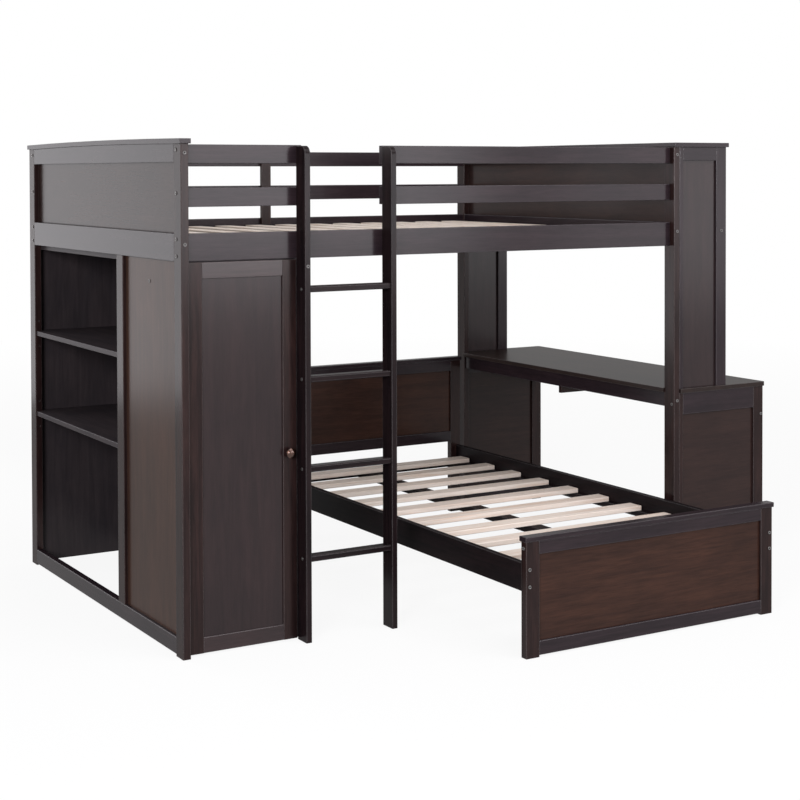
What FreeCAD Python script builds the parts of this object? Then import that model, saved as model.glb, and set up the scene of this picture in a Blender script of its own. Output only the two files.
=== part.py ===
import FreeCAD, Part
import math
import os

# A full-size loft bed over a twin bed, with a wardrobe and bookcase under its left end and a desk
# with an upper bookcase at its right end. All sizes are in millimetres. The sizes are worked in a
# frame whose origin is the outer front floor corner of the left front post: X runs along the loft,
# Y from front to back, Z up. The finished pieces are then moved so that the origin is under the
# middle of the whole bed, on the floor.

# Boards that the whole bed is cut from
frame_thickness = 26.0
post_width = 57.0
rail_thickness = 24.0
board_thickness = 18.0
panel_thickness = 6.0
edge_ease = 1.5
most_ease_share = 0.3
groove_depth = 6.0
floor_gap = 6.0

# Loft bed
loft_depth = 1493.0
side_rail_bottom = 1241.0
guard_rail_height = 60.0
guard_lower_gap = 83.0
guard_upper_gap = 76.0
guard_top_margin = 2.0
back_middle_rail_drop = 8.0
back_top_rail_drop = 4.0
rail_setback = 26.0
batten_width = 42.0
batten_slat_gap = 3.0
batten_share = 0.4935

# Slats and what carries them
slat_width = 68.0
slat_thickness = 18.0
slat_end_gap = 4.0
cleat_size = 20.0
cleat_rise = 22.0
loft_slat_count = 14
loft_slat_margin = 50.0
loft_slat_drop = 28.0
loft_beam_width = 44.0
loft_beam_rise = 2.0

# Left end frame
cap_thickness = 16.0
cap_overhang = 6.0
cap_rise = 5.0
end_top_rail_height = 57.0
end_bottom_rail_height = 54.0
end_panel_setback_share = 0.9
wardrobe_panel_setback = 12.0
wardrobe_depth = 502.0

# Wardrobe and bookcase case
case_width = 430.0
case_back_gap = 2.0
shelf_setback = 5.0
shelf_top_shares = (0.4811, 0.7317)
peg_radius = 2.5
peg_length = 20.0
peg_pitch = 49.0
peg_inset = 15.0
peg_hole_clearance = 0.3

# Wardrobe door
door_front = 20.0
door_gap = 3.0
rest_gap = 0.3
door_stile_width = 50.0
door_top_rail_height = 52.0
door_bottom_rail_height = 50.0
door_panel_setback_share = 0.5
knob_radius = 17.0
knob_reach = 26.0
knob_inset_share = 0.58
knob_height_share = 0.4927
knob_radius_shares = (0.6, 0.42, 0.38, 0.88, 1.0, 0.82, 0.35)
knob_reach_shares = (0.0, 0.12, 0.36, 0.5, 0.69, 0.9, 1.0)
knob_sides = 24

# Door hinges
hinge_count = 3
hinge_knuckles = 3
hinge_length = 60.0
hinge_end_distance = 110.0
hinge_leaf_thickness = 1.3
hinge_leaf_play = 0.4
hinge_leaf_inset = 1.0
hinge_barrel_radius = 2.6
hinge_pin_radius = 1.5
hinge_pin_clearance = 0.08
hinge_play = 0.3

# Hanging rod and magnetic catch
rod_radius = 12.5
rod_drop = 56.0
socket_floor = 4.0
socket_depth = 12.0
socket_wall = 4.0
rod_clearance = 0.3
catch_length = 44.0
catch_width = 16.0
catch_height = 14.0

# Ladder
ladder_door_clearance = 0.5
ladder_width = 341.0
ladder_board_thickness = 20.0
ladder_board_width = 63.0
ladder_top_gap = 5.0
ladder_corner_radius = 26.0
rung_count = 4
rung_pitch = 291.0
first_rung_height = 269.5
rung_thickness = 20.0
rung_width = 40.0
rung_setback = 7.0
rung_ease = 3.0
guard_rail_tuck = 4.0

# Desk and upper bookcase at the right end
hutch_width = 255.0
side_frame_width = 444.0
narrow_stile_width = 18.0
wide_stile_width = 49.0
side_panel_setback_share = 0.45
hutch_top_rail_height = 51.0
hutch_top_overhang = 8.0
hutch_floor_rise = 44.0
desk_height = 706.0
desk_thickness = 16.0
desk_front_overhang = 6.0
desk_inner_overhang = 7.0
desk_corner_radius = 10.0
desk_notch_gap = 2.0
desk_top_rail_height = 81.0
apron_height = 54.0
outer_rail_height = 45.0
centre_support_height = 85.0

# Twin bed
twin_ladder_gap = 165.5
twin_post_gap = 26.0
twin_wall_gap = 35.0
twin_width = 1030.0
twin_length = 2002.0
twin_frame_thickness = 28.0
twin_post_width = 51.0
footboard_rise = 69.0
headboard_rise = 64.0
headboard_drop = 13.0
footboard_top_rail_height = 42.0
footboard_bottom_rail_height = 45.0
headboard_rail_height = 46.0
twin_panel_setback_share = 0.41
twin_cap_overhang = 4.0
twin_rail_bottom = 207.0
twin_rail_thickness = 20.0
twin_rail_setback = 3.0
twin_slat_count = 10
twin_slat_margin = 50.0
twin_slat_drop = 43.0
twin_cleat_rise = 9.0
twin_beam_width = 50.0
cross_member_thickness = 22.0

# Bolts
bolt_head_radius = 6.0
bolt_head_height = 2.4
bolt_head_sides = 10
lower_bolt_share = 0.2
upper_bolt_share = 0.8
guard_bolt_share = 0.72
post_bolt_share = 0.62
ladder_bolt_drop = 24.0
desk_cross_bolt_drop = 14.0

# One length by which every cut runs past what it cuts
overrun = 1.0

# Planes that several pieces share
rail_front = rail_setback
rail_back = rail_setback + rail_thickness
loft_slat_bottom = side_rail_bottom + cleat_rise + cleat_size
side_rail_top = loft_slat_bottom + slat_thickness + loft_slat_drop
side_rail_height = side_rail_top - side_rail_bottom
guard_middle_bottom = side_rail_top + guard_lower_gap
guard_middle_top = guard_middle_bottom + guard_rail_height
guard_top_bottom = guard_middle_top + guard_upper_gap
guard_top = guard_top_bottom + guard_rail_height
back_middle_bottom = guard_middle_bottom - back_middle_rail_drop
back_top_bottom = guard_top_bottom - back_top_rail_drop
post_height = guard_top + guard_top_margin
back_post_front = loft_depth - post_width
end_bottom_rail_top = floor_gap + end_bottom_rail_height
end_top_rail_bottom = post_height - end_top_rail_height
stile_back = wardrobe_depth + post_width
case_inner_right = case_width - board_thickness
case_back = loft_depth - case_back_gap
case_back_inner = case_back - board_thickness
case_roof = side_rail_bottom
case_roof_underside = case_roof - board_thickness
partition_front = stile_back - board_thickness
hinge_gap = hinge_leaf_thickness + hinge_leaf_play + hinge_leaf_thickness
door_back = door_front + board_thickness
door_left = frame_thickness + hinge_gap
door_right = case_inner_right - door_gap
door_bottom = floor_gap
door_top = side_rail_bottom - door_gap
case_front = door_back + door_gap
ladder_left = case_inner_right + ladder_door_clearance
ladder_right = ladder_left + ladder_width
ladder_front = rail_front - ladder_board_width
left_guard_end = ladder_left + ladder_board_thickness
right_guard_start = ladder_right - ladder_board_thickness + guard_rail_tuck
twin_left = ladder_right + twin_ladder_gap
twin_right = twin_left + twin_width
post_right = twin_right + twin_post_gap
hutch_left = post_right + frame_thickness
hutch_right = post_right + hutch_width
desk_side_right = post_right + side_frame_width
desk_underside = desk_height - desk_thickness
outer_rail_top = desk_underside - centre_support_height
apron_right = hutch_left - desk_notch_gap
outer_rail_right = desk_side_right - desk_notch_gap
twin_back = loft_depth - twin_wall_gap
twin_front = twin_back - twin_length
twin_slat_bottom = twin_rail_bottom + twin_cleat_rise + cleat_size
twin_rail_top = twin_slat_bottom + slat_thickness + twin_slat_drop
twin_rail_height = twin_rail_top - twin_rail_bottom
footboard_height = twin_rail_top + footboard_rise
headboard_panel_bottom = twin_rail_top + headboard_rise
headboard_height = desk_height - headboard_drop - cap_thickness

pieces = {}


def box(x, y, z):
    """A block between two X, two Y and two Z planes."""
    corner = FreeCAD.Vector(x[0], y[0], z[0])
    return Part.makeBox(x[1] - x[0], y[1] - y[0], z[1] - z[0], corner)


def edges_along(shape, axis):
    """The straight edges of a shape that run along an axis, given as 0, 1 or 2."""
    found = []
    for edge in shape.Edges:
        step = edge.lastVertex().Point - edge.firstVertex().Point
        if abs(abs(step[axis]) - step.Length) < Part.Precision.confusion():
            found.append(edge)
    return found


def board(x, y, z, ease=edge_ease):
    """A board whose four long edges are eased by a small bevel."""
    shape = box(x, y, z)
    spans = [x[1] - x[0], y[1] - y[0], z[1] - z[0]]
    longest = spans.index(max(spans))
    return shape.makeChamfer(min(ease, min(spans) * most_ease_share), edges_along(shape, longest))


def add(name, *solids):
    pieces.setdefault(name, []).extend(solids)


def cut_from(name, *cutters):
    """Cut the same shapes from every solid of a piece."""
    for index, solid in enumerate(pieces[name]):
        for cutter in cutters:
            if solid.BoundBox.intersect(cutter.BoundBox):
                solid = solid.cut(cutter)
        pieces[name][index] = solid


def rod_shape(radius, length, start, direction):
    return Part.makeCylinder(radius, length, FreeCAD.Vector(*start), FreeCAD.Vector(*direction))


def outline_solid(points, thickness, start_x):
    """A solid from a closed outline in the YZ plane, given as points and (middle, end) arcs."""
    edges = []
    here = points[0]
    for step in points[1:] + [points[0]]:
        if isinstance(step[0], tuple):
            middle, end = step
            places = [FreeCAD.Vector(start_x, *place) for place in (here, middle, end)]
            edges.append(Part.Arc(*places).toShape())
        else:
            end = step
            ends = [FreeCAD.Vector(start_x, *place) for place in (here, end)]
            edges.append(Part.LineSegment(*ends).toShape())
        here = end
    face = Part.Face(Part.Wire(edges))
    return face.extrude(FreeCAD.Vector(thickness, 0, 0))


def turned_knob(place):
    """A knob turned about a Y axis through a place on the front of the door, in narrow flats."""
    rings = []
    for radius_share, reach_share in zip(knob_radius_shares, knob_reach_shares):
        radius = knob_radius * radius_share
        reach = knob_reach * reach_share
        ring = []
        for index in range(knob_sides):
            turn = 2 * math.pi * index / knob_sides
            offset = FreeCAD.Vector(radius * math.cos(turn), -reach, radius * math.sin(turn))
            ring.append(FreeCAD.Vector(*place) + offset)
        rings.append(ring)
    outlines = [rings[0], rings[-1]]
    for inner, outer in zip(rings, rings[1:]):
        for index in range(knob_sides):
            after = (index + 1) % knob_sides
            outlines.append([inner[index], inner[after], outer[after], outer[index]])
    faces = [Part.Face(Part.makePolygon(outline + outline[:1])) for outline in outlines]
    return Part.makeSolid(Part.makeShell(faces))


def make_posts():
    front = (0, post_width)
    back = (back_post_front, loft_depth)
    height = (0, post_height)
    left = (0, frame_thickness)
    right = (post_right, hutch_left)
    add("left_front_post", board(left, front, height))
    add("left_back_post", board(left, back, height))
    add("right_front_post", board(right, front, height))
    add("right_back_post", board(right, back, height))


def make_left_end():
    """The framed end: an arched cap and top rail, panels, rails and a middle stile."""
    middle = loft_depth / 2
    arch_middle = (middle, post_height + cap_rise)
    rail = outline_solid(
        [
            (post_width, end_top_rail_bottom),
            (back_post_front, end_top_rail_bottom),
            (back_post_front, post_height),
            (arch_middle, (post_width, post_height)),
        ],
        frame_thickness,
        0,
    )
    lower = board((0, frame_thickness), (post_width, back_post_front), (side_rail_bottom, side_rail_top))
    bottom = board((0, frame_thickness), (post_width, back_post_front), (floor_gap, end_bottom_rail_top))
    add("left_end_rails", rail, lower, bottom)

    cap_top = post_height + cap_thickness
    cap = outline_solid(
        [
            (-cap_overhang, post_height),
            (post_width, post_height),
            (arch_middle, (back_post_front, post_height)),
            (loft_depth + cap_overhang, post_height),
            (loft_depth + cap_overhang, cap_top),
            ((middle, cap_top + cap_rise), (-cap_overhang, cap_top)),
        ],
        frame_thickness + cap_overhang + cap_overhang,
        -cap_overhang,
    )
    add("left_end_cap", cap.makeChamfer(edge_ease, edges_along(cap, 0)))

    stile_z = (end_bottom_rail_top, side_rail_bottom)
    add("left_end_divider_stile", board((0, frame_thickness), (wardrobe_depth, stile_back), stile_z))

    setback = (frame_thickness - panel_thickness) * end_panel_setback_share
    upper_panel = box(
        (setback, setback + panel_thickness),
        (post_width - groove_depth, back_post_front + groove_depth),
        (side_rail_top - groove_depth, end_top_rail_bottom + groove_depth),
    )
    add("left_end_panel", upper_panel)
    for name in ("left_front_post", "left_back_post", "left_end_rails"):
        cut_from(name, upper_panel)

    side_panel = box(
        (wardrobe_panel_setback, frame_thickness),
        (post_width - groove_depth, wardrobe_depth + groove_depth),
        (end_bottom_rail_top - groove_depth, side_rail_bottom + groove_depth),
    )
    add("wardrobe_left_panel", side_panel)
    for name in ("left_front_post", "left_end_divider_stile", "left_end_rails"):
        cut_from(name, side_panel)


def make_case():
    """Wardrobe and bookcase boards behind the framed end, under the loft."""
    inside = (frame_thickness, case_inner_right)
    height = (floor_gap, case_roof)
    add("case_right_panel", board((case_inner_right, case_width), (rail_front, case_back_inner), height))
    add("case_back_panel", board((frame_thickness, case_width), (case_back_inner, case_back), height))
    add("case_top", box(inside, (case_front, case_back_inner), (case_roof_underside, case_roof)))
    add("case_partition", box(inside, (partition_front, stile_back), (floor_gap, case_roof_underside)))
    floor_z = (end_bottom_rail_top - board_thickness, end_bottom_rail_top)
    add("wardrobe_floor", box(inside, (case_front, partition_front), floor_z))


def drill_peg_holes(x, face_y, into, middle):
    """The hole of a peg at its middle, and one hole for a shelf set a pitch lower or higher."""
    radius = peg_radius + peg_hole_clearance
    mouth_y = face_y + into * overrun
    levels = (middle - peg_pitch, middle, middle + peg_pitch)
    drill = [rod_shape(radius, peg_length / 2 + overrun, (x, mouth_y, z), (0, -into, 0)) for z in levels]
    for name in ("left_back_post", "left_end_divider_stile", "case_back_panel", "case_partition"):
        cut_from(name, *drill)


def make_bookcase_shelves():
    """Two deep shelves, notched round the back post and slotted from below to sit over their pegs."""
    depth = (shelf_setback, case_inner_right)
    peg_rows = (peg_inset, case_inner_right - peg_inset)
    for share in shelf_top_shares:
        top = case_roof * share
        height = (top - board_thickness, top)
        shelf = board(depth, (stile_back, case_back_inner), height)
        notch = box((0, frame_thickness), (back_post_front, loft_depth), (0, post_height))
        shelf = shelf.cut(notch)
        middle = top - board_thickness / 2
        hole_radius = peg_radius + peg_hole_clearance
        for x in peg_rows:
            back_face = back_post_front if x < frame_thickness else case_back_inner
            for y, into in ((stile_back, 1), (back_face, -1)):
                start = (x, y - into * peg_length / 2, middle)
                add("shelf_pegs", rod_shape(peg_radius, peg_length, start, (0, into, 0)))
                slot_y = sorted((y - into * overrun, y + into * (peg_length / 2 + peg_hole_clearance)))
                slot_z = (top - board_thickness - overrun, middle + hole_radius)
                shelf = shelf.cut(box((x - hole_radius, x + hole_radius), slot_y, slot_z))
                drill_peg_holes(x, y, into, middle)
        add("bookcase_shelves", shelf)


def make_long_sides():
    """Side rails, guard rails, the batten behind them and what carries the slats."""
    length = (frame_thickness, post_right)
    front_rail = (rail_front, rail_back)
    back_rail = (loft_depth - rail_back, loft_depth - rail_front)
    side = (side_rail_bottom, side_rail_top)
    add("front_side_rail", board(length, front_rail, side))
    add("back_side_rail", board(length, back_rail, side))
    for bottom in (guard_middle_bottom, guard_top_bottom):
        height = (bottom, bottom + guard_rail_height)
        add("front_guard_rails", board((frame_thickness, left_guard_end), front_rail, height))
        add("front_guard_rails", board((right_guard_start, post_right), front_rail, height))
    for bottom in (back_middle_bottom, back_top_bottom):
        add("back_guard_rails", board(length, back_rail, (bottom, bottom + guard_rail_height)))
    batten_middle = frame_thickness + (post_right - frame_thickness) * batten_share
    batten_x = (batten_middle - batten_width / 2, batten_middle + batten_width / 2)
    batten_y = (loft_depth - rail_back - board_thickness, loft_depth - rail_back)
    batten_z = (loft_slat_bottom + slat_thickness + batten_slat_gap, back_top_bottom + guard_rail_height)
    add("back_guard_batten", board(batten_x, batten_y, batten_z))

    slat_bottom = loft_slat_bottom
    cleat_z = (slat_bottom - cleat_size, slat_bottom)
    add("loft_slat_cleats", board(length, (rail_back, rail_back + cleat_size), cleat_z))
    back_cleat = (loft_depth - rail_back - cleat_size, loft_depth - rail_back)
    add("loft_slat_cleats", board(length, back_cleat, cleat_z))
    slat_y = (rail_back + slat_end_gap, loft_depth - rail_back - slat_end_gap)
    slat_z = (slat_bottom, slat_bottom + slat_thickness)
    spread = post_right - frame_thickness - loft_slat_margin - loft_slat_margin - slat_width
    for index in range(loft_slat_count):
        left = frame_thickness + loft_slat_margin + spread * index / (loft_slat_count - 1)
        add("loft_slats", board((left, left + slat_width), slat_y, slat_z))
    beam_y = ((loft_depth - loft_beam_width) / 2, (loft_depth + loft_beam_width) / 2)
    beam_x = (frame_thickness, hutch_left - rail_thickness)
    add("loft_centre_beam", board(beam_x, beam_y, (side_rail_bottom + loft_beam_rise, slat_bottom)))


def make_ladder():
    front = ladder_front
    corner = ladder_corner_radius
    ladder_height = post_height - ladder_top_gap
    diagonal = corner * (1 - math.sqrt(0.5))
    for left in (ladder_left, ladder_right - ladder_board_thickness):
        shape = outline_solid(
            [
                (front, 0),
                (rail_front, 0),
                (rail_front, ladder_height),
                (front + corner, ladder_height),
                ((front + diagonal, ladder_height - diagonal), (front, ladder_height - corner)),
            ],
            ladder_board_thickness,
            left,
        )
        add("ladder_boards", shape.makeChamfer(edge_ease, edges_along(shape, 2)))
    span = (ladder_left + ladder_board_thickness, ladder_right - ladder_board_thickness)
    rung_y = (front + rung_setback, front + rung_setback + rung_width)
    for index in range(rung_count):
        middle = first_rung_height + rung_pitch * index
        height = (middle - rung_thickness / 2, middle + rung_thickness / 2)
        add("ladder_rungs", board(span, rung_y, height, rung_ease))


def framed_side(prefix, right, bottom, top, rails):
    """A front and a back frame with two stiles, its rails and one panel let into grooves."""
    inner_left = hutch_left + narrow_stile_width
    inner_right = right - wide_stile_width
    panel_x = (inner_left - groove_depth, inner_right + groove_depth)
    setback = (frame_thickness - panel_thickness) * side_panel_setback_share
    for front in (True, False):
        if front:
            thickness = (0, frame_thickness)
            panel_y = (setback, setback + panel_thickness)
        else:
            thickness = (loft_depth - frame_thickness, loft_depth)
            panel_y = (loft_depth - setback - panel_thickness, loft_depth - setback)
        panel_bottom = bottom
        panel_top = top
        frame = [
            ("stiles", board((hutch_left, inner_left), thickness, (bottom, top))),
            ("stiles", board((inner_right, right), thickness, (bottom, top))),
        ]
        for low, high in rails:
            frame.append(("rails", board((inner_left, inner_right), thickness, (low, high))))
            if high == top:
                panel_top = low + groove_depth
            else:
                panel_bottom = high - groove_depth
        panel = box(panel_x, panel_y, (panel_bottom, panel_top))
        add(prefix + "_side_panels", panel)
        for kind, solid in frame:
            add(prefix + "_side_" + kind, solid.cut(panel))


def make_right_end():
    """Inner end frame, upper bookcase, desk and the framed sides that carry them."""
    rail_x = (hutch_left - rail_thickness, hutch_left)
    rail_y = (post_width, back_post_front)
    add("right_end_rails", board(rail_x, rail_y, (side_rail_bottom, side_rail_top)))
    add("right_end_rails", board(rail_x, rail_y, (end_top_rail_bottom, post_height)))
    inside = (frame_thickness, loft_depth - frame_thickness)
    panel_x = (hutch_left, hutch_left + panel_thickness)
    add("right_end_panel", box(panel_x, inside, (side_rail_bottom, post_height)))

    top_rail = (post_height - hutch_top_rail_height, post_height)
    framed_side("hutch", hutch_right, desk_height, post_height, [top_rail])
    top_x = (post_right - edge_ease, hutch_right + hutch_top_overhang)
    top_y = (-cap_overhang, loft_depth + cap_overhang)
    add("hutch_top", board(top_x, top_y, (post_height, post_height + cap_thickness)))
    floor_bottom = side_rail_bottom + hutch_floor_rise
    floor_z = (floor_bottom, floor_bottom + board_thickness)
    add("hutch_floor", board((panel_x[1], hutch_right), inside, floor_z))

    desk_rails = [(desk_underside - desk_top_rail_height, desk_underside), (floor_gap, end_bottom_rail_top)]
    framed_side("desk", desk_side_right, 0, desk_underside, desk_rails)
    desk_x = (post_right - desk_inner_overhang, desk_side_right + desk_front_overhang)
    desk_y = (-desk_front_overhang, loft_depth)
    top = box(desk_x, desk_y, (desk_underside, desk_height))
    outer = [edge for edge in edges_along(top, 2) if edge.Vertexes[0].X > hutch_left]
    top = top.makeFillet(desk_corner_radius, outer)
    notch_x = (desk_x[0] - overrun, hutch_left + desk_notch_gap)
    notch_z = (desk_underside - overrun, desk_height + overrun)
    for notch_y in ((desk_y[0] - overrun, post_width), (back_post_front, loft_depth + overrun)):
        top = top.cut(box(notch_x, notch_y, notch_z))
    add("desk_top", top)

    apron_x = (apron_right - board_thickness, apron_right)
    add("desk_long_rails", board(apron_x, rail_y, (desk_underside - apron_height, desk_underside)))
    outer_x = (outer_rail_right - board_thickness, outer_rail_right)
    add("desk_long_rails", board(outer_x, inside, (outer_rail_top - outer_rail_height, outer_rail_top)))
    support_x = (apron_right, outer_rail_right)
    support_y = ((loft_depth - board_thickness) / 2, (loft_depth + board_thickness) / 2)
    add("desk_centre_support", board(support_x, support_y, (outer_rail_top, desk_underside)))


def hinge_levels():
    """Heights of the middles of the hinges on the door."""
    low = door_bottom + hinge_end_distance
    high = door_top - hinge_end_distance
    return [low + (high - low) * index / (hinge_count - 1) for index in range(hinge_count)]


def make_hinge(middle):
    """One butt hinge: leaves in the gap beside the door and interleaved knuckles in front of it."""
    axis_x = frame_thickness + hinge_play + hinge_barrel_radius
    axis_y = door_front - hinge_play - hinge_barrel_radius
    bottom = middle - hinge_length / 2
    foot = (axis_x, axis_y, bottom)
    up = (0, 0, 1)
    post_leaf_x = (frame_thickness, frame_thickness + hinge_leaf_thickness)
    door_leaf_x = (door_left - hinge_leaf_thickness, door_left)
    leaf_y = (door_front, door_back - hinge_leaf_inset)
    leaf_z = (bottom, bottom + hinge_length)
    post_leaf = box(post_leaf_x, leaf_y, leaf_z)
    door_leaf = box(door_leaf_x, leaf_y, leaf_z)
    pitch = hinge_length / hinge_knuckles
    bore = rod_shape(hinge_pin_radius + hinge_pin_clearance, hinge_length, foot, up)
    for index in range(hinge_knuckles):
        low = bottom + pitch * index
        high = low + pitch
        if index > 0:
            low += hinge_play / 2
        if index < hinge_knuckles - 1:
            high -= hinge_play / 2
        knuckle = rod_shape(hinge_barrel_radius, high - low, (axis_x, axis_y, low), up)
        if index % 2 == 0:
            web = box(post_leaf_x, (axis_y, door_front), (low, high))
            post_leaf = post_leaf.fuse([web, knuckle])
        else:
            web = box(door_leaf_x, (axis_y, door_front), (low, high))
            door_leaf = door_leaf.fuse([web, knuckle]).cut(bore)
    pin = rod_shape(hinge_pin_radius, hinge_length, foot, up)
    add("post_hinge_leaves", post_leaf.fuse(pin).removeSplitter())
    add("door_hinge_leaves", door_leaf.removeSplitter())


def make_door():
    bottom = door_bottom
    top = door_top
    thickness = (door_front, door_back)
    inner_left = door_left + door_stile_width
    inner_right = door_right - door_stile_width
    panel_bottom = bottom + door_bottom_rail_height - groove_depth
    panel_top = top - door_top_rail_height + groove_depth
    panel_front = door_front + (board_thickness - panel_thickness) * door_panel_setback_share
    panel_y = (panel_front, panel_front + panel_thickness)
    panel = box((inner_left - groove_depth, inner_right + groove_depth), panel_y, (panel_bottom, panel_top))
    add("door_stiles", board((door_left, inner_left), thickness, (bottom, top)).cut(panel))
    add("door_stiles", board((inner_right, door_right), thickness, (bottom, top)).cut(panel))
    rail_x = (inner_left, inner_right)
    add("door_rails", board(rail_x, thickness, (bottom, bottom + door_bottom_rail_height)).cut(panel))
    add("door_rails", board(rail_x, thickness, (top - door_top_rail_height, top)).cut(panel))
    add("door_panel", panel)

    knob_x = door_right - door_stile_width * knob_inset_share
    knob_height = bottom + (top - bottom) * knob_height_share
    add("door_knob", turned_knob((knob_x, door_front, knob_height)))

    for middle in hinge_levels():
        make_hinge(middle)

    catch_x = (case_inner_right - door_stile_width - catch_length, case_inner_right - door_stile_width)
    catch_z = (case_roof_underside - catch_height, case_roof_underside)
    catch_front = door_back + rest_gap
    add("door_catch", board(catch_x, (catch_front, catch_front + catch_width), catch_z))


def make_hanging_rod():
    """The rod in its two cups, with the screw that holds each cup from outside."""
    left = frame_thickness
    length = case_inner_right - left
    rod_distance = (door_back + partition_front) / 2
    rod_height = case_roof_underside - rod_drop
    cup_radius = rod_radius + rod_clearance + socket_wall
    for start, into in ((left, 1), (case_inner_right, -1)):
        cup = rod_shape(cup_radius, socket_depth, (start, rod_distance, rod_height), (into, 0, 0))
        seat_start = (start + into * socket_floor, rod_distance, rod_height)
        seat = rod_shape(rod_radius + rod_clearance, socket_depth, seat_start, (into, 0, 0))
        add("hanging_rod_sockets", cup.cut(seat))
    fasten("loft_bolt_heads", (wardrobe_panel_setback, rod_distance, rod_height), (-1, 0, 0))
    fasten("loft_bolt_heads", (case_width, rod_distance, rod_height), (1, 0, 0))
    start = (left + socket_floor, rod_distance, rod_height)
    add("hanging_rod", rod_shape(rod_radius, length - socket_floor - socket_floor, start, (1, 0, 0)))


def twin_end(y, height, panel_bottom, rails, panel_y):
    """Posts, rails, panel and cap of a headboard or footboard."""
    inner = (twin_left + twin_post_width, twin_right - twin_post_width)
    name = "twin_footboard_posts" if y[0] == twin_front else "twin_headboard_posts"
    panel_top = height
    parts = [
        (name, board((twin_left, inner[0]), y, (0, height))),
        (name, board((inner[1], twin_right), y, (0, height))),
    ]
    for low, high in rails:
        parts.append(("twin_end_rails", board(inner, y, (low, high))))
        if high == height:
            panel_top = low + groove_depth
    panel_z = (panel_bottom - groove_depth, panel_top)
    panel = box((inner[0] - groove_depth, inner[1] + groove_depth), panel_y, panel_z)
    add("twin_end_panels", panel)
    for kind, solid in parts:
        add(kind, solid.cut(panel))
    cap_x = (twin_left - twin_cap_overhang, twin_right + twin_cap_overhang)
    cap_y = (y[0] - twin_cap_overhang, y[1] + twin_cap_overhang)
    add("twin_caps", board(cap_x, cap_y, (height, height + cap_thickness)))


def make_twin():
    """The stand-alone twin bed: footboard, headboard, side rails, slats and what carries them."""
    foot = (twin_front, twin_front + twin_frame_thickness)
    head = (twin_back - twin_frame_thickness, twin_back)
    bottom_rail_top = floor_gap + footboard_bottom_rail_height
    foot_rails = [
        (floor_gap, bottom_rail_top),
        (footboard_height - footboard_top_rail_height, footboard_height),
    ]
    setback = (twin_frame_thickness - panel_thickness) * twin_panel_setback_share
    foot_panel = (twin_front + setback, twin_front + setback + panel_thickness)
    twin_end(foot, footboard_height, bottom_rail_top, foot_rails, foot_panel)
    head_rails = [
        (headboard_panel_bottom - headboard_rail_height, headboard_panel_bottom),
        (headboard_height - headboard_rail_height, headboard_height),
    ]
    head_panel = (head[0] + setback, head[0] + setback + panel_thickness)
    twin_end(head, headboard_height, headboard_panel_bottom, head_rails, head_panel)

    inside_y = (foot[1], head[0])
    rail_z = (twin_rail_bottom, twin_rail_top)
    left_rail = (twin_left + twin_rail_setback, twin_left + twin_rail_setback + twin_rail_thickness)
    right_rail = (twin_right - twin_rail_setback - twin_rail_thickness, twin_right - twin_rail_setback)
    slat_bottom = twin_slat_bottom
    cleat_z = (slat_bottom - cleat_size, slat_bottom)
    add("twin_side_rails", board(left_rail, inside_y, rail_z), board(right_rail, inside_y, rail_z))
    cross_y = [(foot[1], foot[1] + cross_member_thickness), (head[0] - cross_member_thickness, head[0])]
    between = (cross_y[0][1], cross_y[1][0])
    add("twin_slat_cleats", board((left_rail[1], left_rail[1] + cleat_size), between, cleat_z))
    add("twin_slat_cleats", board((right_rail[0] - cleat_size, right_rail[0]), between, cleat_z))
    beam_z = (twin_rail_bottom, slat_bottom)
    for span in cross_y:
        add("twin_cross_members", board((left_rail[1], right_rail[0]), span, beam_z))
    middle = (twin_left + twin_right) / 2
    beam_x = (middle - twin_beam_width / 2, middle + twin_beam_width / 2)
    add("twin_centre_beam", board(beam_x, between, beam_z))
    slat_x = (left_rail[1] + slat_end_gap, right_rail[0] - slat_end_gap)
    slat_z = (slat_bottom, slat_bottom + slat_thickness)
    spread = between[1] - between[0] - twin_slat_margin - slat_width
    for index in range(twin_slat_count):
        front = between[0] + twin_slat_margin / 2 + spread * index / (twin_slat_count - 1)
        add("twin_slats", board(slat_x, (front, front + slat_width), slat_z))


def fasten(name, seat, outward):
    """The head of a bolt, seated on a face at seat. Its shank inside the boards is left out."""
    corners = []
    for index in range(bolt_head_sides):
        turn = 2 * math.pi * index / bolt_head_sides
        along, up = bolt_head_radius * math.cos(turn), bolt_head_radius * math.sin(turn)
        offset = (0, along, up) if outward[0] else (along, 0, up)
        corners.append(FreeCAD.Vector(*seat) + FreeCAD.Vector(*offset))
    face = Part.Face(Part.makePolygon(corners + corners[:1]))
    add(name, face.extrude(FreeCAD.Vector(*outward) * bolt_head_height))


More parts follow.
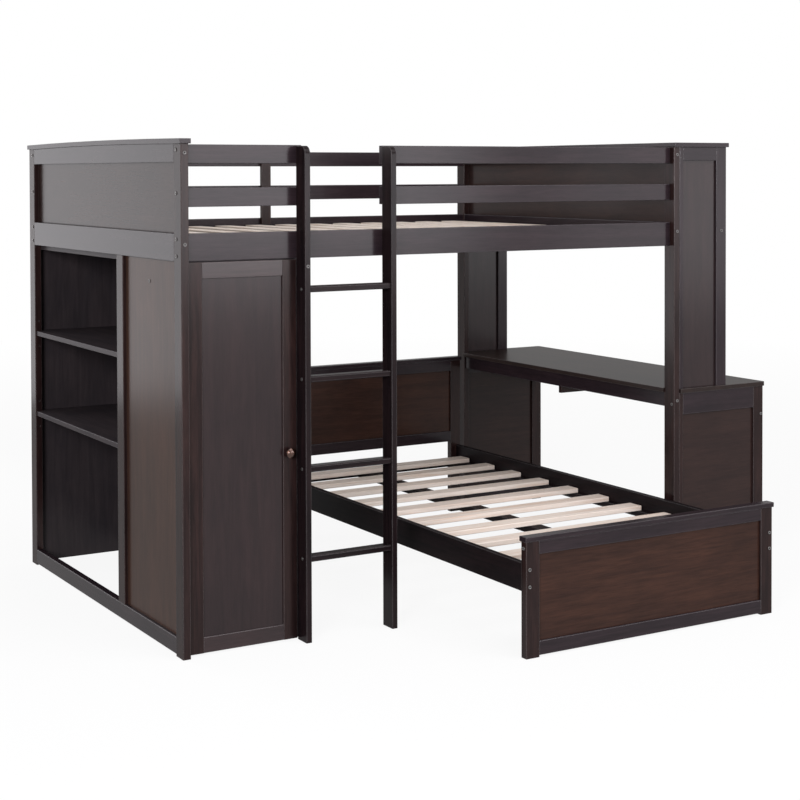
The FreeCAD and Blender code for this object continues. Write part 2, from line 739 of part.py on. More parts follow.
def make_loft_bolts():
    """Bolts through the posts into the end rails, the long rails, the desk and the side frames."""
    top_level = post_height - end_top_rail_height / 2
    lower_level = side_rail_bottom + side_rail_height * post_bolt_share
    left_middle = frame_thickness / 2
    right_middle = hutch_left - rail_thickness / 2
    apron_middle = apron_right - board_thickness / 2
    apron_level = desk_underside - apron_height / 2
    floor_level = side_rail_bottom + hutch_floor_rise + board_thickness / 2
    outer_middle = outer_rail_right - board_thickness / 2
    outer_level = outer_rail_top - outer_rail_height / 2
    places = [
        (left_middle, top_level),
        (left_middle, lower_level),
        (right_middle, top_level),
        (right_middle, lower_level),
        (apron_middle, apron_level),
        (hutch_right - wide_stile_width / 2, floor_level),
        (outer_middle, outer_level),
    ]
    guard_rise = guard_rail_height * guard_bolt_share
    rail_shares = (lower_bolt_share, upper_bolt_share)
    side_levels = [side_rail_bottom + side_rail_height * share for share in rail_shares]
    front_levels = side_levels + [guard_middle_bottom + guard_rise, guard_top_bottom + guard_rise]
    back_levels = side_levels + [back_middle_bottom + guard_rise, back_top_bottom + guard_rise]
    for face_y, into, rail_levels in ((0, 1, front_levels), (loft_depth, -1, back_levels)):
        for x, level in places:
            fasten("loft_bolt_heads", (x, face_y, level), (0, -into, 0))
        cross_y = face_y + into * frame_thickness / 2
        fasten("loft_bolt_heads", (post_right, cross_y, apron_level - desk_cross_bolt_drop), (-1, 0, 0))
        rail_y = face_y + into * (rail_front + rail_thickness / 2)
        for level in rail_levels:
            fasten("loft_bolt_heads", (0, rail_y, level), (-1, 0, 0))


def make_ladder_bolts():
    """Bolts through the ladder boards, and through the long rails into the back of the boards."""
    rung_middle = ladder_front + rung_setback + rung_width / 2
    for x, into in ((ladder_left, 1), (ladder_right, -1)):
        for index in range(rung_count):
            level = first_rung_height + rung_pitch * index
            fasten("loft_bolt_heads", (x, rung_middle, level), (-into, 0, 0))
        middle = x + into * ladder_board_thickness / 2
        fasten("loft_bolt_heads", (middle, rail_back, side_rail_bottom + cleat_rise / 2), (0, 1, 0))
    for middle in ((ladder_left + left_guard_end) / 2, (right_guard_start + ladder_right) / 2):
        for bottom in (guard_middle_bottom, guard_top_bottom):
            fasten("loft_bolt_heads", (middle, rail_back, bottom + guard_rail_height / 2), (0, 1, 0))
    seat = (ladder_left + ladder_board_thickness / 2, ladder_front, side_rail_bottom - ladder_bolt_drop)
    fasten("loft_bolt_heads", seat, (0, -1, 0))


def make_twin_bolts():
    """Each twin bed post has two bolts into the end of its side rail and one into its top rail."""
    rail_middle = twin_rail_setback + twin_rail_thickness / 2
    levels = [twin_rail_bottom + twin_rail_height * share for share in (lower_bolt_share, upper_bolt_share)]
    for x in (twin_left + rail_middle, twin_right - rail_middle):
        for level in levels:
            fasten("twin_bolt_heads", (x, twin_front, level), (0, -1, 0))
            fasten("twin_bolt_heads", (x, twin_back, level), (0, 1, 0))
    foot_middle = twin_front + twin_frame_thickness / 2
    head_middle = twin_back - twin_frame_thickness / 2
    foot_level = footboard_height - footboard_top_rail_height / 2
    head_level = headboard_height - headboard_rail_height / 2
    for face_x, outward in ((twin_left, -1), (twin_right, 1)):
        fasten("twin_bolt_heads", (face_x, foot_middle, foot_level), (outward, 0, 0))
        fasten("twin_bolt_heads", (face_x, head_middle, head_level), (outward, 0, 0))


def save_pieces():
    """Write each piece, moved so that the origin is on the floor under the middle of the bed."""
    low_x = -cap_overhang
    high_x = desk_side_right + desk_front_overhang
    low_y = twin_front - twin_cap_overhang
    high_y = loft_depth + cap_overhang
    move = FreeCAD.Vector(-(low_x + high_x) / 2, -(low_y + high_y) / 2, 0)
    os.makedirs("parts", exist_ok=True)
    for name, solids in pieces.items():
        shape = solids[0] if len(solids) == 1 else Part.makeCompound(solids)
        shape.translate(move)
        shape.exportStep("parts/" + name + ".step")
    print(len(pieces), "pieces,", sum(len(solids) for solids in pieces.values()), "solids")
    print("moved by", move)


make_posts()
make_left_end()
make_case()
make_bookcase_shelves()
make_long_sides()
make_ladder()
make_right_end()
make_door()
make_hanging_rod()
make_twin()
make_loft_bolts()
make_ladder_bolts()
make_twin_bolts()
save_pieces()
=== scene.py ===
import math

import bmesh
import bpy
from mathutils import Matrix, Vector


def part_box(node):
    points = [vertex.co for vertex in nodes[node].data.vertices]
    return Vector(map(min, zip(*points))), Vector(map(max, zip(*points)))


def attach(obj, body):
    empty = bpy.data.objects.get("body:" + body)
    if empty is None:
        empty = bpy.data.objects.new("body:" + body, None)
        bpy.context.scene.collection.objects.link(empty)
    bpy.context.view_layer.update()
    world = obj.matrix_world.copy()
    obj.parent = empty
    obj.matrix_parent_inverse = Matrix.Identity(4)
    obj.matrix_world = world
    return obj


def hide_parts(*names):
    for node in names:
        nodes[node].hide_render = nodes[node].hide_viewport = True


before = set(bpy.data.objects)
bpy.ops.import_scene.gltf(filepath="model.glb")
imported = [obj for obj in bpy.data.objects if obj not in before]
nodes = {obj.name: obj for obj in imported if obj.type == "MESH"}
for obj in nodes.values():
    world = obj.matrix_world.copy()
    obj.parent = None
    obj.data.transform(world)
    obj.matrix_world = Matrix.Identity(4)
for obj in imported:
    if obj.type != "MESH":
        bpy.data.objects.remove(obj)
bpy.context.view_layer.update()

# The camera, in metres and degrees, as fitted to the edges of the photograph
camera_place = (-3.1808, -5.1248, 1.5215)
camera_yaw = 30.695
camera_pitch = -1.2255
camera_roll = -0.1585
camera_reach = 200
image_width = 800
focal_pixels = 1617.1
axis_height_pixels = 206.0
sensor_width_mm = 36.0

# Each softbox: its place and the point it faces in metres, its width and height in metres and
# its power in watts
softboxes = {
    "front_softbox": ((1.8, -6.5, 1.65), (0, 0, 1.2), 3.6, 1.7, 120),
    "right_softbox": ((5.4, -5.5, 1.4), (0.8, -0.4, 1.0), 2.4, 1.7, 33),
    "left_softbox": ((-2.35, 3.0, 1.45), (-1.2, 0.2, 1.2), 1.6, 2.3, 30),
    "key_softbox": ((-5.0, -4.6, 2.3), (-0.4, 0.2, 0.8), 1.6, 1.6, 235),
    "top_softbox": ((0.4, -2.6, 4.0), (0.4, -0.3, 0.6), 4.0, 2.4, 88),
}
lamp_colour = (0.98, 0.965, 1.0)

# The world's strength as light on the object, and the strength at which a white is seen as pure
world_light = 0.42
seen_strength = 1.0

# The floor, in metres: it lies just under the posts and turns from nearly white into pure white
# between two distances from the middle of the bed
floor_half_width = 30.0
floor_drop = 0.0005
floor_fade_start = 2.5
floor_fade_end = 9.0
floor_white_share = 0.90
floor_lit_colour = (0.32, 0.32, 0.32)
floor_seen_colour = (0.92, 0.92, 0.92)

# Colours as linear red, green and blue
white = (1.0, 1.0, 1.0)
pine_dark = (0.86, 0.69, 0.57)
pine_light = (0.95, 0.85, 0.76)
bolt_colour = (0.145, 0.138, 0.136)
# The socket colour is painted shade, the dark inside the hollow of each bolt head
socket_shade_colour = (0.010, 0.009, 0.009)
steel_colour = (0.42, 0.40, 0.38)
hinge_colour = (0.045, 0.037, 0.033)
knob_colour = (0.070, 0.031, 0.020)
catch_colour = (0.050, 0.038, 0.032)

# Each stain: its darkest and lightest colour, how strongly the grain shows, the weight of the
# lacquer's reflection and the lacquer's roughness
stains = {
    "rail": ((0.019, 0.013, 0.016), (0.027, 0.018, 0.022), 0.40, 0.39, 0.18),
    "stile": ((0.015, 0.008, 0.008), (0.029, 0.015, 0.014), 0.60, 0.33, 0.20),
    "ladder": ((0.009, 0.006, 0.007), (0.017, 0.010, 0.011), 0.50, 0.23, 0.20),
    "panel": ((0.024, 0.014, 0.013), (0.032, 0.018, 0.016), 0.30, 0.34, 0.22),
    "warm_panel": ((0.034, 0.016, 0.012), (0.050, 0.023, 0.016), 0.45, 0.28, 0.24),
    "side_panel": ((0.044, 0.024, 0.018), (0.056, 0.029, 0.021), 0.25, 0.30, 0.24),
    "smooth_panel": ((0.020, 0.013, 0.014), (0.026, 0.016, 0.017), 0.20, 0.50, 0.20),
    "case": ((0.044, 0.037, 0.041), (0.054, 0.045, 0.049), 0.15, 0.16, 0.26),
    "case_back": ((0.032, 0.027, 0.030), (0.042, 0.035, 0.038), 0.15, 0.20, 0.24),
    "door_rail": ((0.024, 0.014, 0.015), (0.034, 0.020, 0.021), 0.40, 0.68, 0.20),
    "desk": ((0.018, 0.011, 0.010), (0.026, 0.016, 0.014), 0.30, 0.33, 0.28),
    # A darker copy of the stain that paints shade onto the boards under the beds
    "painted_shade_matt": ((0.008, 0.006, 0.007), (0.014, 0.009, 0.010), 0.50, 0.14, 0.30),
}

# Each finish of a fitting: its colour, its roughness, how metallic it is and the weight of its coat
finishes = {
    "hinge_metal": (hinge_colour, 0.42, 0.6, 0.0),
    "satin_steel": (steel_colour, 0.34, 1.0, 0.0),
    "moulded_catch": (catch_colour, 0.5, 0.0, 0.0),
    "bolt_zinc": (bolt_colour, 0.32, 0.9, 0.0),
    "bolt_socket_painted_shade": (socket_shade_colour, 0.5, 0.9, 0.0),
    "knob_bronze": (knob_colour, 0.30, 1.0, 0.6),
}

# Each layer of grain: waves per metre across the board and along it, its fineness and its bend
stain_figure = (46.0, 3.0, 6.0, 0.8)
stain_pores = (330.0, 20.0, 3.0, 0.1)
stain_clouds = (8.0, 4.4, 4.0, 0.4)
pine_figure = (34.0, 1.1, 5.0, 1.2)
pine_fibres = (240.0, 4.0, 3.0, 0.1)
pine_clouds = (6.0, 1.6, 2.0, 0.0)
smudge_grain = (90.0, 90.0, 4.0, 0.3)

# Where along a layer of grain its colours are reached, and the tints that a layer multiplies by
stain_figure_places = (0.34, 0.66)
pore_tints = [(0.34, (0.62, 0.58, 0.56)), (0.52, white), (0.68, (1.24, 1.18, 1.15))]
stain_cloud_tints = [(0.32, (0.74, 0.76, 0.79)), (0.68, (1.28, 1.21, 1.16))]
stain_cloud_share = 0.55
pine_figure_places = (0.32, 0.46, 0.56, 0.70)
fibre_tints = [(0.36, (0.92, 0.90, 0.88)), (0.58, white)]
fibre_share = 0.8
pine_cloud_tints = [(0.3, (0.94, 0.91, 0.90)), (0.7, (1.02, 1.02, 1.02))]
pine_cloud_share = 0.9
smudge_places = (0.3, 0.7)
smudge_darkening = 0.75

# Each layer of relief: how strongly it shows and its depth in metres
pore_relief = (0.05, 0.0003)
figure_relief = (0.06, 0.0006)
fibre_relief = (0.18, 0.0004)
smudge_relief = (0.05, 0.0002)

# Edges: the radius in metres that catches the light, the width in metres that is worn, how the worn
# colour follows from the lightest one, and how far a face turns before it counts as an edge.
# On the stained wood the lightened edge is wear and also a painted highlight where the rounded
# edges catch the light
edge_radius = 0.003
edge_samples = 4
stain_worn_highlight_width = 0.0025
stain_worn_highlight_gain = 1.6
stain_worn_highlight_lift = 0.12
stain_worn_highlight_share = 0.7
metal_worn_width = 0.0006
metal_worn_gain = 1.8
metal_worn_lift = 0.02
flat_facing = 0.995
edge_facing = 0.90

# How far the roughness drifts below and above its value, and the sheen of the pale wood and coats
stain_gloss_drift = (0.04, 0.10)
metal_gloss_drift = (0.08, 0.08)
pine_roughness = 0.55
pine_specular = 0.3
coat_roughness = 0.06
coat_index = 1.6

# The outlines of the turned pieces from the seat outwards, as shares of their radius and height
bolt_sides = 24
bolt_outline = [(1.0, 0.0), (1.0, 0.5), (0.95, 0.82), (0.82, 1.0), (0.5, 1.0), (0.5, 0.1)]
knob_sides = 48
knob_outline = [
    (0.60, 0.00),
    (0.60, 0.05),
    (0.48, 0.09),
    (0.42, 0.14),
    (0.38, 0.26),
    (0.42, 0.38),
    (0.62, 0.47),
    (0.84, 0.52),
    (0.95, 0.57),
    (0.995, 0.64),
    (1.00, 0.70),
    (0.98, 0.76),
    (0.91, 0.80),
    (0.84, 0.815),
    (0.80, 0.84),
    (0.74, 0.89),
    (0.60, 0.945),
    (0.40, 0.98),
    (0.20, 0.995),
    (0.02, 1.00),
]

# How near two corners of a mesh are one, and how near a fitting's seat is to the wood, in metres
same_corner = 0.00001
seat_reach = 0.0004

# The axis of the grain where it isn't the node's longest side
set_axes = {
    "left_end_rails": "Y",
    "left_end_panel": "Y",
    "wardrobe_left_panel": "Z",
    "case_right_panel": "Z",
    "case_back_panel": "Z",
    "case_partition": "Z",
    "bookcase_shelves": "Y",
    "door_stiles": "Z",
    "door_rails": "X",
    "door_panel": "Z",
    "loft_slats": "Y",
    "loft_slat_cleats": "X",
    "ladder_boards": "Z",
    "ladder_rungs": "X",
    "right_end_rails": "Y",
    "right_end_panel": "Y",
    "hutch_side_stiles": "Z",
    "hutch_side_rails": "X",
    "hutch_side_panels": "Z",
    "desk_side_stiles": "Z",
    "desk_side_rails": "X",
    "desk_side_panels": "X",
    "desk_long_rails": "Y",
    "twin_footboard_posts": "Z",
    "twin_headboard_posts": "Z",
    "twin_caps": "X",
    "twin_end_rails": "X",
    "twin_end_panels": "X",
    "twin_cross_members": "X",
    "twin_slats": "X",
}

# The stain of the boards whose names hold these words; the first word that fits counts
stain_words = [
    ("door_rails", "door_rail"),
    ("door_panel", "smooth_panel"),
    ("wardrobe_left_panel", "side_panel"),
    ("hutch_side_panels", "smooth_panel"),
    ("hutch_side_stiles", "rail"),
    ("twin_end_panels", "warm_panel"),
    ("case_back", "case_back"),
    ("case", "case"),
    ("shelves", "case"),
    ("wardrobe_floor", "case"),
    ("desk_top", "desk"),
    ("post", "stile"),
    ("stile", "stile"),
    ("ladder_boards", "ladder"),
    # The boards under the beds take the darker copy of the stain as painted shade
    ("twin_side_rails", "painted_shade_matt"),
    ("cross_members", "painted_shade_matt"),
    ("cleats", "painted_shade_matt"),
    ("centre_beam", "painted_shade_matt"),
    ("rail", "rail"),
    ("cap", "rail"),
    ("rung", "ladder"),
    ("hutch_top", "rail"),
    ("", "panel"),
]

# The nodes that aren't wood, with their finish
fitting_nodes = {
    "post_hinge_leaves": "hinge_metal",
    "door_hinge_leaves": "hinge_metal",
    "hanging_rod": "satin_steel",
    "hanging_rod_sockets": "satin_steel",
    "shelf_pegs": "satin_steel",
    "door_catch": "moulded_catch",
}


def make_node(tree, kind, values=None, **settings):
    """A shader node with its settings and the values of its unlinked sockets."""
    made = tree.nodes.new(kind)
    for name, value in settings.items():
        setattr(made, name, value)
    for name, value in (values or {}).items():
        made.inputs[name].default_value = value
    return made


def new_material(name):
    """A material with a shader joined to its output."""
    material = bpy.data.materials.new(name)
    material.use_nodes = True
    tree = material.node_tree
    tree.nodes.clear()
    shader = tree.nodes.new("ShaderNodeBsdfPrincipled")
    output = tree.nodes.new("ShaderNodeOutputMaterial")
    tree.links.new(shader.outputs["BSDF"], output.inputs["Surface"])
    return material, tree, shader


def ramp(tree, source, stops):
    """A colour ramp through (place, colour) stops."""
    made = tree.nodes.new("ShaderNodeValToRGB")
    elements = made.color_ramp.elements
    for index in (0, -1):
        place, colour = stops[index]
        elements[index].position = place
        elements[index].color = (*colour, 1)
    for place, colour in stops[1:-1]:
        elements.new(place).color = (*colour, 1)
    tree.links.new(source, made.inputs["Fac"])
    return made.outputs["Color"]


def grain_noise(tree, axis, layer):
    """Noise drawn out along one axis of the board, like wood grain."""
    across, along, detail, distortion = layer
    place = make_node(tree, "ShaderNodeTexCoord")
    scale = [across, across, across]
    scale["XYZ".index(axis)] = along
    mapping = make_node(tree, "ShaderNodeMapping", {"Scale": scale})
    values = {"Scale": 1.0, "Detail": detail, "Distortion": distortion}
    noise = make_node(tree, "ShaderNodeTexNoise", values)
    tree.links.new(place.outputs["Object"], mapping.inputs["Vector"])
    tree.links.new(mapping.outputs["Vector"], noise.inputs["Vector"])
    return noise.outputs["Fac"]


def mix_colour(tree, factor, first, second, blend="MIX"):
    """Two colours mixed; factor and colours are sockets or plain values."""
    mix = make_node(tree, "ShaderNodeMix", data_type="RGBA", blend_type=blend)
    # Inputs 6 and 7 and output 2 are the colour sockets of the node
    for socket, value in ((mix.inputs[0], factor), (mix.inputs[6], first), (mix.inputs[7], second)):
        if isinstance(value, bpy.types.NodeSocket):
            tree.links.new(value, socket)
        elif isinstance(value, tuple):
            socket.default_value = (*value, 1)
        else:
            socket.default_value = value
    return mix.outputs[2]


def edge_mask(tree, width):
    """Near 1 on the edges of a piece and 0 on its faces."""
    bevel = make_node(tree, "ShaderNodeBevel", {"Radius": width}, samples=edge_samples)
    shape = make_node(tree, "ShaderNodeNewGeometry")
    facing = make_node(tree, "ShaderNodeVectorMath", operation="DOT_PRODUCT")
    tree.links.new(bevel.outputs["Normal"], facing.inputs[0])
    tree.links.new(shape.outputs["True Normal"], facing.inputs[1])
    limits = {"From Min": flat_facing, "From Max": edge_facing}
    spread = make_node(tree, "ShaderNodeMapRange", limits)
    tree.links.new(facing.outputs["Value"], spread.inputs["Value"])
    return spread.outputs["Result"]


def set_gloss(tree, source, roughness, drift, shader):
    """Roughness that drifts with a layer of grain."""
    limits = {"To Min": roughness - drift[0], "To Max": roughness + drift[1]}
    gloss = make_node(tree, "ShaderNodeMapRange", limits)
    tree.links.new(source, gloss.inputs["Value"])
    tree.links.new(gloss.outputs["Result"], shader.inputs["Roughness"])


def bump(tree, layers, shader):
    """Rounded edges under layers of relief, each given as (heights, (strength, depth))."""
    bevel = make_node(tree, "ShaderNodeBevel", {"Radius": edge_radius}, samples=edge_samples)
    normal = bevel.outputs["Normal"]
    for heights, (strength, depth) in layers:
        relief = make_node(tree, "ShaderNodeBump", {"Strength": strength, "Distance": depth})
        tree.links.new(heights, relief.inputs["Height"])
        tree.links.new(normal, relief.inputs["Normal"])
        normal = relief.outputs["Normal"]
    tree.links.new(normal, shader.inputs["Normal"])
    tree.links.new(normal, shader.inputs["Coat Normal"])


def stained_wood(kind, axis):
    """Dark stain under a semi-gloss lacquer, with grain along one axis and edges lightened by wear
    and by a painted highlight.
    """
    dark, light, contrast, coat, roughness = stains[kind]
    material, tree, shader = new_material(kind + "_stain_" + axis)
    figure = grain_noise(tree, axis, stain_figure)
    pores = grain_noise(tree, axis, stain_pores)
    clouds = grain_noise(tree, axis, stain_clouds)
    colour = ramp(tree, figure, list(zip(stain_figure_places, (dark, light))))
    lines = ramp(tree, pores, pore_tints)
    colour = mix_colour(tree, contrast, colour, lines, "MULTIPLY")
    tone = ramp(tree, clouds, stain_cloud_tints)
    colour = mix_colour(tree, stain_cloud_share, colour, tone, "MULTIPLY")
    # The lightened edge colour is wear together with a painted highlight where the rounded edges
    # catch the light
    worn_and_highlight_colour = tuple(value * stain_worn_highlight_gain + stain_worn_highlight_lift for value in light)
    wear_and_highlight_share = make_node(tree, "ShaderNodeMath", {1: stain_worn_highlight_share}, operation="MULTIPLY")
    tree.links.new(edge_mask(tree, stain_worn_highlight_width), wear_and_highlight_share.inputs[0])
    colour = mix_colour(tree, wear_and_highlight_share.outputs["Value"], colour, worn_and_highlight_colour)
    tree.links.new(colour, shader.inputs["Base Color"])
    set_gloss(tree, clouds, roughness, stain_gloss_drift, shader)
    shader.inputs["Specular IOR Level"].default_value = 0.0
    shader.inputs["Coat Weight"].default_value = coat
    shader.inputs["Coat Roughness"].default_value = roughness
    bump(tree, [(pores, pore_relief), (figure, figure_relief)], shader)
    return material


def pine_wood(axis):
    """Planed pale pine with soft growth rings and finer fibres."""
    material, tree, shader = new_material("pine_" + axis)
    figure = grain_noise(tree, axis, pine_figure)
    fibres = grain_noise(tree, axis, pine_fibres)
    clouds = grain_noise(tree, axis, pine_clouds)
    rings = (pine_dark, pine_light, pine_light, pine_dark)
    colour = ramp(tree, figure, list(zip(pine_figure_places, rings)))
    fine = ramp(tree, fibres, fibre_tints)
    colour = mix_colour(tree, fibre_share, colour, fine, "MULTIPLY")
    tone = ramp(tree, clouds, pine_cloud_tints)
    colour = mix_colour(tree, pine_cloud_share, colour, tone, "MULTIPLY")
    tree.links.new(colour, shader.inputs["Base Color"])
    shader.inputs["Roughness"].default_value = pine_roughness
    shader.inputs["Specular IOR Level"].default_value = pine_specular
    bump(tree, [(fibres, fibre_relief)], shader)
    return material


def fitting_material(name):
    """A plated, painted or moulded finish with faint smudges in its sheen."""
    colour, roughness, metallic, coat = finishes[name]
    material, tree, shader = new_material(name)
    smudges = grain_noise(tree, "Z", smudge_grain)
    dull = tuple(value * smudge_darkening for value in colour)
    tint = ramp(tree, smudges, list(zip(smudge_places, (dull, colour))))
    worn_and_highlight_colour = tuple(min(1.0, value * metal_worn_gain + metal_worn_lift) for value in colour)
    tint = mix_colour(tree, edge_mask(tree, metal_worn_width), tint, worn_and_highlight_colour)
    tree.links.new(tint, shader.inputs["Base Color"])
    set_gloss(tree, smudges, roughness, metal_gloss_drift, shader)
    shader.inputs["Metallic"].default_value = metallic
    shader.inputs["Coat Weight"].default_value = coat
    shader.inputs["Coat Roughness"].default_value = coat_roughness
    shader.inputs["Coat IOR"].default_value = coat_index
    bump(tree, [(smudges, smudge_relief)], shader)
    return material


def grain_axis(name):
    """The axis along which the boards of a node run."""
    low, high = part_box(name)
    spans = [high[i] - low[i] for i in range(3)]
    return "XYZ"[spans.index(max(spans))]


def material_of(name):
    """The function that makes a CAD node's material, and what that function is called with."""
    if name in fitting_nodes:
        return fitting_material, (fitting_nodes[name],)
    axis = set_axes.get(name) or grain_axis(name)
    if "slats" in name:
        return pine_wood, (axis,)
    kind = next(stain for word, stain in stain_words if word in name)
    return stained_wood, (kind, axis)


def dress_nodes():
    """Each CAD node gets its material, and nodes of one kind and one grain axis share it."""
    made = {}
    for name, thing in nodes.items():
        maker, words = material_of(name)
        if words not in made:
            made[words] = maker(*words)
        thing.data.materials.clear()
        thing.data.materials.append(made[words])


def islands(name):
    """The (lowest corner, highest corner) of each solid of a node."""
    mesh = bmesh.new()
    mesh.from_mesh(nodes[name].data)
    bmesh.ops.remove_doubles(mesh, verts=mesh.verts, dist=same_corner)
    reached = set()
    found = []
    for start in mesh.verts:
        if start in reached:
            continue
        reached.add(start)
        group = [start]
        for vertex in group:
            for edge in vertex.link_edges:
                other = edge.other_vert(vertex)
                if other not in reached:
                    reached.add(other)
                    group.append(other)
        low = Vector([min(vertex.co[i] for vertex in group) for i in range(3)])
        high = Vector([max(vertex.co[i] for vertex in group) for i in range(3)])
        found.append((low, high))
    mesh.free()
    return found


def add_piece(name, mesh, material, body):
    """A new object that rides on a body and carries the given material."""
    data = bpy.data.meshes.new(name)
    mesh.to_mesh(data)
    mesh.free()
    data.materials.append(material)
    thing = bpy.data.objects.new(name, data)
    bpy.context.scene.collection.objects.link(thing)
    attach(thing, body)
    return thing


def lathe(mesh, outline, radius, height, sides, turn):
    """Turn (radius, height) shares about Z, place the result by a matrix and return its faces."""
    rings = []
    faces = []
    for radius_share, height_share in outline:
        ring = []
        for index in range(sides):
            angle = 2 * math.pi * index / sides
            out = radius * radius_share
            place = Vector((out * math.cos(angle), out * math.sin(angle), height * height_share))
            ring.append(mesh.verts.new(turn @ place))
        rings.append(ring)
    for lower, upper in zip(rings, rings[1:]):
        for index in range(sides):
            after = (index + 1) % sides
            face = mesh.faces.new((lower[index], lower[after], upper[after], upper[index]))
            face.smooth = True
            faces.append(face)
    mesh.faces.new(list(reversed(rings[0])))
    faces.append(mesh.faces.new(rings[-1]))
    return faces


def seat_matrix(place, outward):
    """A matrix whose Z axis points out of the face on which a fitting is seated."""
    turn = Vector((0, 0, 1)).rotation_difference(Vector(outward))
    return Matrix.Translation(place) @ turn.to_matrix().to_4x4()


def touches_wood(point):
    """True where a point lies on the surface of a board."""
    for name, thing in nodes.items():
        if "bolt_heads" not in name:
            found, nearest, _, _ = thing.closest_point_on_mesh(point)
            if found and (nearest - point).length < seat_reach:
                return True
    return False


def bolt_seat(low, high):
    """Where a bolt head of the CAD sits, the way it points out, its radius and its height."""
    spans = high - low
    thin = min(range(3), key=lambda i: spans[i])
    outward = Vector((0, 0, 0))
    outward[thin] = 1
    place = (low + high) / 2
    place[thin] = low[thin]
    if not touches_wood(place):
        outward[thin] = -1
        place[thin] = high[thin]
    return place, outward, max(spans) / 2, spans[thin]


def make_bolt_heads():
    """Round bolt heads, domed at the rim, with the socket painted dark as shade."""
    zinc = fitting_material("bolt_zinc")
    socket_shade = fitting_material("bolt_socket_painted_shade")
    for name, body in (("loft_bolt_heads", "loft"), ("twin_bolt_heads", "twin_bed")):
        mesh = bmesh.new()
        for low, high in islands(name):
            place, outward, radius, height = bolt_seat(low, high)
            turn = seat_matrix(place, outward)
            faces = lathe(mesh, bolt_outline, radius, height, bolt_sides, turn)
            # The socket's walls and floor are painted dark as shade
            for face in faces[-bolt_sides - 1:]:
                face.material_index = 1
        piece = add_piece(name + "_round", mesh, zinc, body)
        piece.data.materials.append(socket_shade)
        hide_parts(name)


def make_knob():
    """A turned mushroom knob on a short neck, with a bead round its rim."""
    low, high = (Vector(corner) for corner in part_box("door_knob"))
    radius = (high[0] - low[0]) / 2
    reach = high[1] - low[1]
    mesh = bmesh.new()
    place = Vector(((low[0] + high[0]) / 2, high[1], (low[2] + high[2]) / 2))
    lathe(mesh, knob_outline, radius, reach, knob_sides, seat_matrix(place, (0, -1, 0)))
    bronze = fitting_material("knob_bronze")
    piece = add_piece("turned_knob", mesh, bronze, "wardrobe_door")
    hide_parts("door_knob")


def seen_rays(tree):
    """1 for a ray from the camera, a mirror or a glass, and 0 for the light on the object."""
    path = tree.nodes.new("ShaderNodeLightPath")
    most = path.outputs["Is Camera Ray"]
    for name in ("Is Glossy Ray", "Is Transmission Ray"):
        either = make_node(tree, "ShaderNodeMath", operation="MAXIMUM")
        tree.links.new(most, either.inputs[0])
        tree.links.new(path.outputs[name], either.inputs[1])
        most = either.outputs["Value"]
    return most


def mix_surfaces(tree, share, first, second, output):
    """The output shows a share of the second surface over the first."""
    mix = tree.nodes.new("ShaderNodeMixShader")
    tree.links.new(share, mix.inputs["Fac"])
    tree.links.new(first, mix.inputs[1])
    tree.links.new(second, mix.inputs[2])
    tree.links.new(mix.outputs["Shader"], output.inputs["Surface"])


def floor_material():
    """Pale paint that keeps shadows, under a white that grows with the distance."""
    material = bpy.data.materials.new("floor_white")
    material.use_nodes = True
    tree = material.node_tree
    tree.nodes.clear()
    output = tree.nodes.new("ShaderNodeOutputMaterial")
    seen = seen_rays(tree)
    paint = tree.nodes.new("ShaderNodeBsdfDiffuse")
    pale = mix_colour(tree, seen, floor_lit_colour, floor_seen_colour)
    tree.links.new(pale, paint.inputs["Color"])
    values = {"Color": (*white, 1), "Strength": seen_strength}
    glow = make_node(tree, "ShaderNodeEmission", values)
    place = make_node(tree, "ShaderNodeTexCoord")
    distance = make_node(tree, "ShaderNodeVectorMath", operation="LENGTH")
    tree.links.new(place.outputs["Object"], distance.inputs[0])
    limits = {
        "From Min": floor_fade_start,
        "From Max": floor_fade_end,
        "To Min": floor_white_share,
        "To Max": 1.0,
    }
    fade = make_node(tree, "ShaderNodeMapRange", limits)
    tree.links.new(distance.outputs["Value"], fade.inputs["Value"])
    share = make_node(tree, "ShaderNodeMath", operation="MULTIPLY")
    tree.links.new(seen, share.inputs[0])
    tree.links.new(fade.outputs["Result"], share.inputs[1])
    surfaces = (paint.outputs["BSDF"], glow.outputs["Emission"])
    mix_surfaces(tree, share.outputs["Value"], *surfaces, output)
    return material


def make_floor():
    """A pale floor that keeps the object's shadow and fades into the white background."""
    mesh = bmesh.new()
    bmesh.ops.create_grid(mesh, x_segments=2, y_segments=2, size=floor_half_width)
    data = bpy.data.meshes.new("floor")
    mesh.to_mesh(data)
    mesh.free()
    floor = bpy.data.objects.new("floor", data)
    floor.location = (0, 0, -floor_drop)
    bpy.context.scene.collection.objects.link(floor)
    data.materials.append(floor_material())


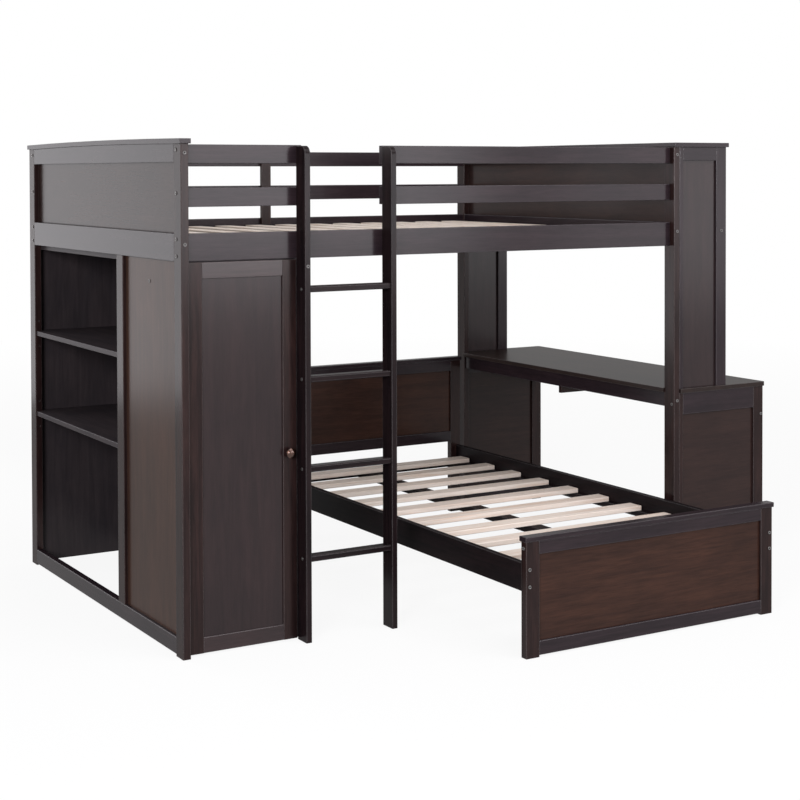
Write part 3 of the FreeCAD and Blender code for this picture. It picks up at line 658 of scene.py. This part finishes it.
def make_world():
    """An even white studio, seen as pure white behind the object."""
    world = bpy.data.worlds.new("studio")
    bpy.context.scene.world = world
    world.use_nodes = True
    tree = world.node_tree
    tree.nodes.clear()
    output = tree.nodes.new("ShaderNodeOutputWorld")
    backgrounds = []
    for strength in (world_light, seen_strength):
        values = {"Color": (*white, 1), "Strength": strength}
        made = make_node(tree, "ShaderNodeBackground", values)
        backgrounds.append(made.outputs["Background"])
    mix_surfaces(tree, seen_rays(tree), *backgrounds, output)


def make_lights():
    """Soft rectangular lamps that light the object and aren't seen themselves."""
    for name, (place, target, width, height, watts) in softboxes.items():
        light = bpy.data.lights.new(name, "AREA")
        light.shape = "RECTANGLE"
        light.size = width
        light.size_y = height
        light.energy = watts
        light.color = lamp_colour
        thing = bpy.data.objects.new(name, light)
        thing.location = place
        ahead = Vector(target) - Vector(place)
        thing.rotation_euler = ahead.to_track_quat("-Z", "Y").to_euler()
        thing.visible_camera = False
        bpy.context.scene.collection.objects.link(thing)


def make_camera():
    """A plain camera with its axis above the middle of the picture."""
    camera = bpy.data.cameras.new("camera")
    camera.sensor_width = sensor_width_mm
    camera.lens = focal_pixels / image_width * sensor_width_mm
    camera.shift_y = (axis_height_pixels - image_width / 2) / image_width
    camera.clip_end = camera_reach
    thing = bpy.data.objects.new("camera", camera)
    yaw, pitch, roll = (math.radians(angle) for angle in (camera_yaw, camera_pitch, camera_roll))
    level = math.cos(pitch)
    ahead = Vector((math.sin(yaw) * level, math.cos(yaw) * level, math.sin(pitch)))
    right = Vector((math.cos(yaw), -math.sin(yaw), 0))
    up = right.cross(ahead)
    rolled_right = right * math.cos(roll) + up * math.sin(roll)
    rolled_up = up * math.cos(roll) - right * math.sin(roll)
    turn = Matrix((rolled_right, rolled_up, -ahead)).transposed()
    thing.matrix_world = Matrix.Translation(camera_place) @ turn.to_4x4()
    bpy.context.scene.collection.objects.link(thing)
    bpy.context.scene.camera = thing


make_camera()
dress_nodes()
make_bolt_heads()
make_knob()
make_floor()
make_world()
make_lights()
bpy.context.scene.view_settings.view_transform = "Standard"
